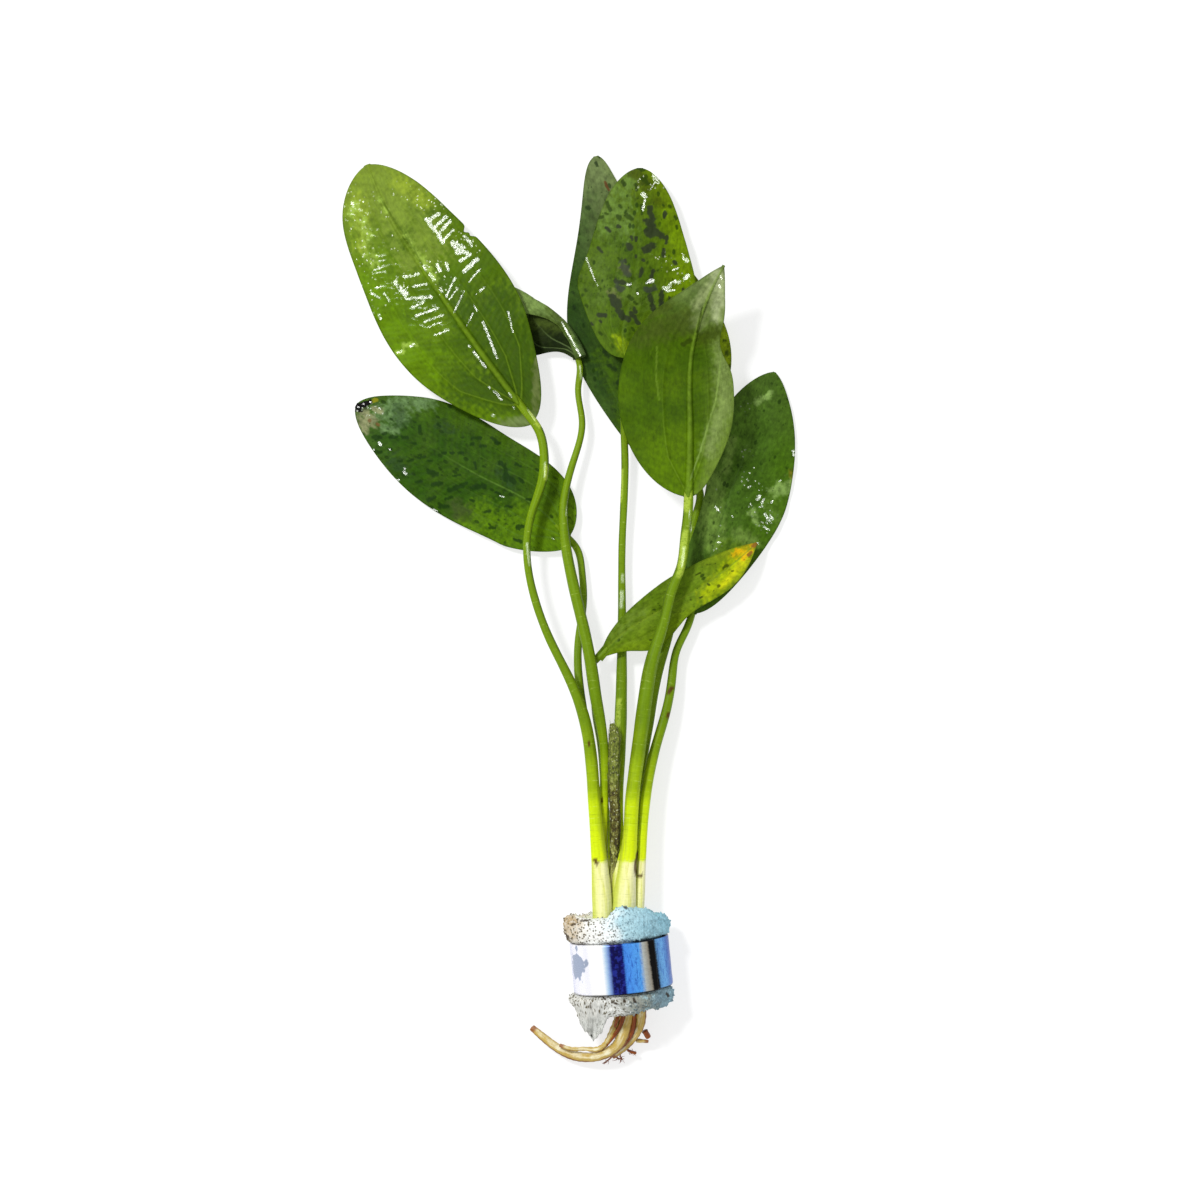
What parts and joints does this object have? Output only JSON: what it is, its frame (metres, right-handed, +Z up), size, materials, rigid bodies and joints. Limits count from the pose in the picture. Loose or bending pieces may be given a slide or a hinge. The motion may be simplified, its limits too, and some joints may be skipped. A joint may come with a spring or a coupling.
{
  "type": "amazon sword plant",
  "caption": "Bunched amazon sword plant lying flat: broad leaves on long stalks, held at the crown by blue foam and a wound soft metal strip, with cut roots below.",
  "frame": {"origin": "on the flat underside of the metal strip, below the crown, where the plant rests", "axes": "+Y along the bunch from the roots to the leaf tips, +Z up from the surface that it lies on, +X to the right"},
  "size_m": [0.1121, 0.226, 0.0247],
  "materials": {
    "wet_leaf": "wet glossy leaf underside with raised veins",
    "dark_leaf": "satin dark green leaf, mottled",
    "spotted_leaf": "satin green leaf with dark spots",
    "yellow_leaf": "dying leaf, green to yellow and brown at the tip",
    "stalk": "smooth moist stalk, green above and cream below",
    "dead_stalk": "dry brown fibrous stalk",
    "crown": "pale cream, fibrous",
    "root": "tan root, slightly glossy",
    "red_root": "red-brown root",
    "foam": "open-celled foam, white to pale blue, with brown specks",
    "metal_strip": "bright bare soft metal, thin scratches"
  },
  "bodies": {
    "root": {"blade_upper_left": "wet_leaf", "blade_lower_left": "dark_leaf", "blade_folded": "dark_leaf", "blade_top_front": "spotted_leaf", "blade_top_back": "spotted_leaf", "blade_front": "wet_leaf", "blade_right": "dark_leaf", "blade_low_right": "yellow_leaf", "stalk_upper_left": "stalk", "stalk_lower_left": "stalk", "stalk_folded": "stalk", "stalk_top_front": "stalk", "stalk_top_back": "stalk", "stalk_front": "stalk", "stalk_right": "stalk", "stalk_low_right": "stalk", "dead_stalk": "dead_stalk", "crown": "crown", "root_long": "root", "root_left": "root", "root_right": "root", "root_red": "red_root", "root_stub_upper": "red_root", "root_stub_lower": "root", "foam_wrap": "foam", "weight_band": "metal_strip"}
  },
  "joints": []
}
